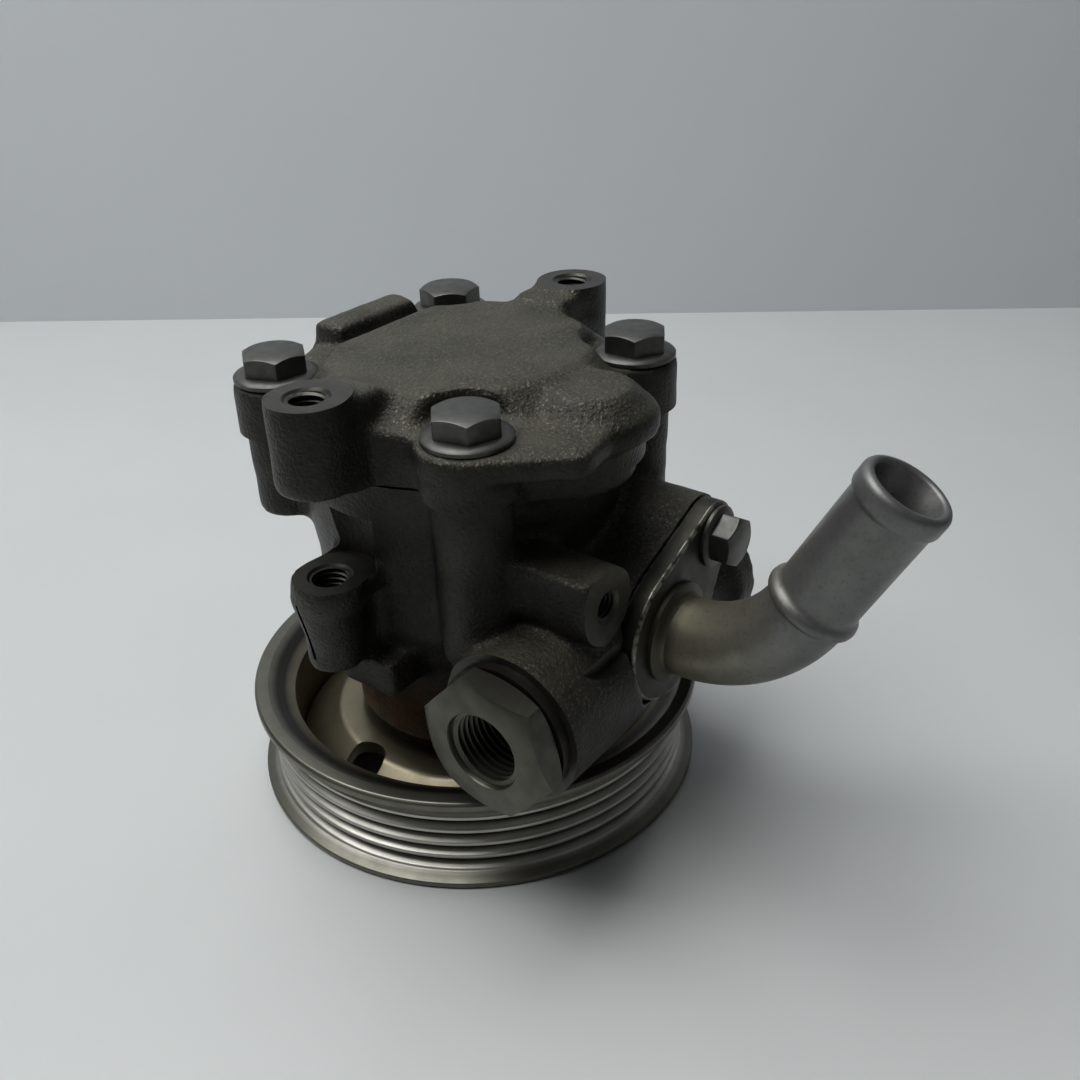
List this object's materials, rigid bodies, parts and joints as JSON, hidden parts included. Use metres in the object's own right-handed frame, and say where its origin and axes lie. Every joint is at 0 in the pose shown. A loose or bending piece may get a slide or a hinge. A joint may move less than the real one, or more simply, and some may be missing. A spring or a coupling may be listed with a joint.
{
  "type": "power steering pump",
  "caption": "Vane-type power steering pump standing on its grooved belt pulley, with a cast housing, bolted rear cover, pressure union and bent suction pipe.",
  "frame": {"origin": "on the shaft axis, in the plane of the pulley's front face, on which the pump stands", "axes": "+Z along the shaft from the pulley to the rear cover, -Y out of the pressure port, +X towards the suction port"},
  "size_m": [0.1557, 0.1054, 0.1052],
  "materials": {
    "cast_iron": "sand cast, oily, dark grey",
    "bolt_steel": "dark phosphated",
    "union_steel": "plain turned, oily",
    "copper_seal": "dull copper",
    "flange_steel": "plain stamped",
    "pipe_steel": "chromated, satin",
    "rubber_seal": "matte black",
    "ground_steel": "ground",
    "spring_steel": "satin",
    "bronze": "plain",
    "sintered_steel": "fine matte",
    "hub_steel": "light rust",
    "pulley_steel": "satin zinc, brownish at the front"
  },
  "bodies": {
    "pump_body": {"pump_housing": "cast_iron", "rear_cover": "cast_iron", "cover_seal": "rubber_seal", "cover_bolts": "bolt_steel", "pressure_union": "union_steel", "union_seal": "copper_seal", "flow_valve_spring": "spring_steel", "suction_flange": "flange_steel", "suction_pipe": "pipe_steel", "suction_seal": "rubber_seal", "suction_flange_bolt": "bolt_steel", "bearing_outer_ring": "ground_steel", "bearing_circlip": "spring_steel", "shaft_seal": "rubber_seal", "shaft_bush": "bronze", "front_plate": "sintered_steel", "cam_ring": "ground_steel", "rear_plate": "sintered_steel", "plate_seal": "rubber_seal", "plate_spring": "spring_steel", "dowel_pins": "ground_steel"},
    "rotating_group": {"drive_shaft": "ground_steel", "bearing_inner_ring": "ground_steel", "rotor": "ground_steel", "vanes": "ground_steel", "rotor_circlip": "spring_steel", "pulley_hub": "hub_steel", "pulley_rim": "pulley_steel", "pulley_web": "pulley_steel", "pulley_bolts": "bolt_steel"},
    "ball_set": {"bearing_balls": "ground_steel", "bearing_cage": "bronze"},
    "valve_spool": {"flow_valve_spool": "ground_steel", "relief_seat": "ground_steel", "relief_spring": "spring_steel"},
    "relief_valve": {"relief_ball": "ground_steel"}
  },
  "joints": [
    {"name": "shaft_spin", "type": "hinge", "parent": "pump_body", "child": "rotating_group", "pos_m": [0, 0, 0], "axis": [0, 0, 1], "continuous": true},
    {"name": "cage_orbit", "type": "hinge", "parent": "pump_body", "child": "ball_set", "pos_m": [0, 0, 0], "axis": [0, 0, 1], "continuous": true},
    {"name": "flow_valve_slide", "type": "slide", "parent": "pump_body", "child": "valve_spool", "axis": [0, 1, 0], "range_m": [0, 0.006], "deforming": ["flow_valve_spring"]},
    {"name": "relief_lift", "type": "slide", "parent": "valve_spool", "child": "relief_valve", "axis": [0, -1, 0], "range_m": [0, 0.001], "deforming": ["relief_spring"]}
  ],
  "couplings": [
    {"joint": "cage_orbit", "follows": "shaft_spin", "ratio": 0.389}
  ]
}
